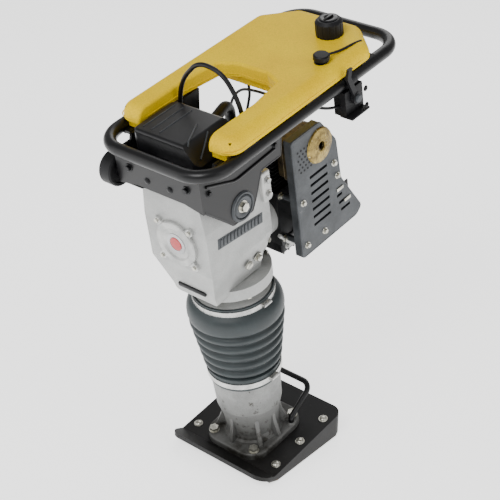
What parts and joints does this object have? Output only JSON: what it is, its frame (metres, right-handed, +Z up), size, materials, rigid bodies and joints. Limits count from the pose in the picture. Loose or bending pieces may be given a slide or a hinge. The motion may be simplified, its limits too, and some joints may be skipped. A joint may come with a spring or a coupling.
{
  "type": "jumping jack rammer",
  "caption": "Upright tamping rammer: ramming shoe and foot on a sprung slide under a rubber bellows, crank gear drive, small engine, tank and loop handle.",
  "frame": {"origin": "on the ground under the middle of the sole", "axes": "+Z up, -Y towards the front of the machine, +X to the operator's left as they stand behind it facing forward"},
  "size_m": [0.326, 0.6359, 1.0025],
  "materials": {
    "shoe_plastic": "moulded black shoe, scuffed",
    "sole_steel": "worn steel wear plate",
    "foot_casting": "cast and painted silver grey",
    "zinc_bolt": "zinc plated",
    "bow_steel": "painted steel bar",
    "ground_steel": "ground and oiled steel",
    "spring_steel": "shot peened spring wire",
    "bellows_rubber": "moulded blue grey rubber",
    "clamp_steel": "stainless band",
    "gear_steel": "machined and hardened",
    "bearing_steel": "ground",
    "case_silver": "die cast, painted silver grey",
    "cover_silver": "turned casting, painted pale grey",
    "emblem_red": "plain red disc",
    "engine_black": "die cast, painted black",
    "fin_metal": "cast fins, dark",
    "plug_black": "moulded plug cap",
    "piston_metal": "machined",
    "shroud_black": "moulded plastic",
    "guard_grey": "pressed sheet, painted grey",
    "muffler_steel": "heat tinted sheet box",
    "carb_metal": "die cast",
    "lever_zinc": "zinc plated sheet",
    "hose_rubber": "extruded rubber",
    "cable_black": "plastic sheathed cable",
    "handle_black": "powder coated black",
    "roller_black": "moulded nylon",
    "mount_rubber": "moulded rubber",
    "filter_black": "moulded plastic",
    "filter_paper": "pleated paper",
    "tank_yellow": "rotation moulded polyethylene",
    "cap_black": "moulded plastic",
    "throttle_plastic": "moulded plastic",
    "tap_brass": "cast",
    "grip_black": "moulded grip"
  },
  "bodies": {
    "ram": {"shoe_block": "shoe_plastic", "shoe_sole": "sole_steel", "foot_casting": "foot_casting", "shoe_bolts": "zinc_bolt", "shoe_handle": "bow_steel", "spring_cylinder": "ground_steel", "lower_spring": "spring_steel", "upper_spring": "spring_steel", "lower_clamp": "clamp_steel"},
    "upper_unit": {"crankcase": "case_silver", "clutch_housing": "case_silver", "front_cover": "cover_silver", "emblem_disc": "emblem_red", "crankcase_screws": "zinc_bolt", "crank_bearings": "bearing_steel", "guide_cylinder": "case_silver", "bellows": "bellows_rubber", "upper_clamp": "clamp_steel", "engine_block": "engine_black", "cylinder_head": "fin_metal", "spark_plug": "plug_black", "fan_shroud": "shroud_black", "recoil_cover": "shroud_black", "side_guard": "guard_grey", "muffler": "muffler_steel", "carburettor": "carb_metal", "intake_hose": "hose_rubber", "handle_tube": "handle_black", "handle_bracket": "handle_black", "roller_axle": "zinc_bolt", "rubber_mounts": "mount_rubber", "mount_bolts": "zinc_bolt", "filter_tray": "filter_black", "filter_element": "filter_paper", "fuel_tank": "tank_yellow", "throttle_housing": "throttle_plastic", "throttle_cable": "cable_black", "fuel_hose": "hose_rubber", "breather_hose": "hose_rubber"},
    "plunger": {"piston_rod": "ground_steel", "wrist_pin": "ground_steel"},
    "conrod": {"connecting_rod": "gear_steel", "crank_pin": "ground_steel"},
    "crank": {"crank_gear": "gear_steel"},
    "clutch_drum": {"clutch_drum_pinion": "gear_steel"},
    "engine_shaft": {"crankshaft": "gear_steel", "flywheel_fan": "carb_metal"},
    "shoe_left": {"clutch_shoe_left": "gear_steel"},
    "shoe_right": {"clutch_shoe_right": "gear_steel"},
    "engine_piston": {"engine_piston": "piston_metal"},
    "engine_rod": {"engine_rod": "gear_steel"},
    "starter_reel": {"starter_reel": "shroud_black"},
    "starter_grip": {"starter_grip": "grip_black"},
    "throttle_lever": {"throttle_lever": "throttle_plastic"},
    "throttle_arm": {"throttle_arm": "lever_zinc"},
    "choke_lever": {"choke_lever": "lever_zinc"},
    "fuel_tap": {"fuel_tap": "tap_brass"},
    "fuel_cap": {"fuel_cap": "cap_black"},
    "front_roller": {"front_roller": "roller_black"},
    "filter_cover": {"filter_cover": "filter_black"}
  },
  "joints": [
    {"name": "ram_slide", "type": "slide", "parent": "ram", "child": "upper_unit", "axis": [0, -0.1702, 0.9854], "range_m": [-0.03, 0.032], "stiffness_N_per_m": 60000, "springref_m": 0.007, "deforming": ["bellows", "lower_spring"]},
    {"name": "plunger_slide", "type": "slide", "parent": "upper_unit", "child": "plunger", "axis": [0, -0.1702, 0.9854], "range_m": [0, 0.064], "deforming": ["upper_spring"]},
    {"name": "conrod_swing", "type": "hinge", "parent": "plunger", "child": "conrod", "pos_m": [0, -0.09602, 0.51537], "axis": [0, 0.9854, 0.1702], "range_deg": [-17.7, 17.7]},
    {"name": "crank_gear_spin", "type": "hinge", "parent": "upper_unit", "child": "crank", "pos_m": [0, -0.11934, 0.65037], "axis": [0, 0.9854, 0.1702], "continuous": true},
    {"name": "clutch_drum_spin", "type": "hinge", "parent": "upper_unit", "child": "clutch_drum", "pos_m": [0, -0.10653, 0.57622], "axis": [0, 0.9854, 0.1702], "continuous": true},
    {"name": "engine_shaft_spin", "type": "hinge", "parent": "upper_unit", "child": "engine_shaft", "pos_m": [0, -0.10653, 0.57622], "axis": [0, 0.9854, 0.1702], "continuous": true},
    {"name": "clutch_shoe_left_slide", "type": "slide", "parent": "engine_shaft", "child": "shoe_left", "axis": [1, 0, 0], "range_m": [0, 0.001], "stiffness_N_per_m": 20000, "springref_m": -0.0005},
    {"name": "clutch_shoe_right_slide", "type": "slide", "parent": "engine_shaft", "child": "shoe_right", "axis": [-1, 0, 0], "range_m": [0, 0.001]},
    {"name": "engine_piston_slide", "type": "slide", "parent": "upper_unit", "child": "engine_piston", "axis": [0, -0.1702, 0.9854], "range_m": [0, 0.04]},
    {"name": "engine_rod_swing", "type": "hinge", "parent": "engine_piston", "child": "engine_rod", "pos_m": [0, 0.03475, 0.67775], "axis": [0, 0.9854, 0.1702], "range_deg": [-12, 12]},
    {"name": "starter_pull", "type": "slide", "parent": "upper_unit", "child": "starter_grip", "axis": [-1, 0, 0], "range_m": [0, 0.11], "stiffness_N_per_m": 100, "springref_m": -0.15},
    {"name": "starter_reel_spin", "type": "hinge", "parent": "upper_unit", "child": "starter_reel", "pos_m": [0, 0.1546, 0.62132], "axis": [0, 0.9854, 0.1702], "range_deg": [-175, 0]},
    {"name": "throttle_lever_turn", "type": "hinge", "parent": "upper_unit", "child": "throttle_lever", "pos_m": [0.161, 0.10854, 0.87037], "axis": [1, 0, 0], "range_deg": [-35, 35]},
    {"name": "throttle_arm_turn", "type": "hinge", "parent": "upper_unit", "child": "throttle_arm", "pos_m": [-0.11, 0.03398, 0.71744], "axis": [1, 0, 0], "range_deg": [-36, 36]},
    {"name": "choke_lever_turn", "type": "hinge", "parent": "upper_unit", "child": "choke_lever", "pos_m": [-0.092, 0.06059, 0.72204], "axis": [0, 0.9854, 0.1702], "range_deg": [0, 80]},
    {"name": "fuel_tap_turn", "type": "hinge", "parent": "upper_unit", "child": "fuel_tap", "pos_m": [-0.06, 0.03283, 0.8857], "axis": [0, -0.1702, 0.9854], "range_deg": [0, 90]},
    {"name": "fuel_cap_turn", "type": "hinge", "parent": "upper_unit", "child": "fuel_cap", "pos_m": [0.052, 0.16356, 0.96308], "axis": [0, -0.1702, 0.9854], "range_deg": [0, 90]},
    {"name": "front_roller_spin", "type": "hinge", "parent": "upper_unit", "child": "front_roller", "pos_m": [-0.133, -0.28113, 0.7645], "axis": [1, 0, 0], "continuous": true},
    {"name": "filter_cover_lift", "type": "slide", "parent": "upper_unit", "child": "filter_cover", "axis": [0, -0.1702, 0.9854], "range_m": [0, 0.04]}
  ],
  "couplings": [
    {"joint": "clutch_drum_spin", "follows": "crank_gear_spin", "ratio": -6.1667},
    {"joint": "clutch_shoe_right_slide", "follows": "clutch_shoe_left_slide", "ratio": 1},
    {"joint": "starter_reel_spin", "follows": "starter_pull", "rad_per_m": -27.4},
    {"joint": "throttle_arm_turn", "follows": "throttle_lever_turn", "ratio": 1}
  ]
}
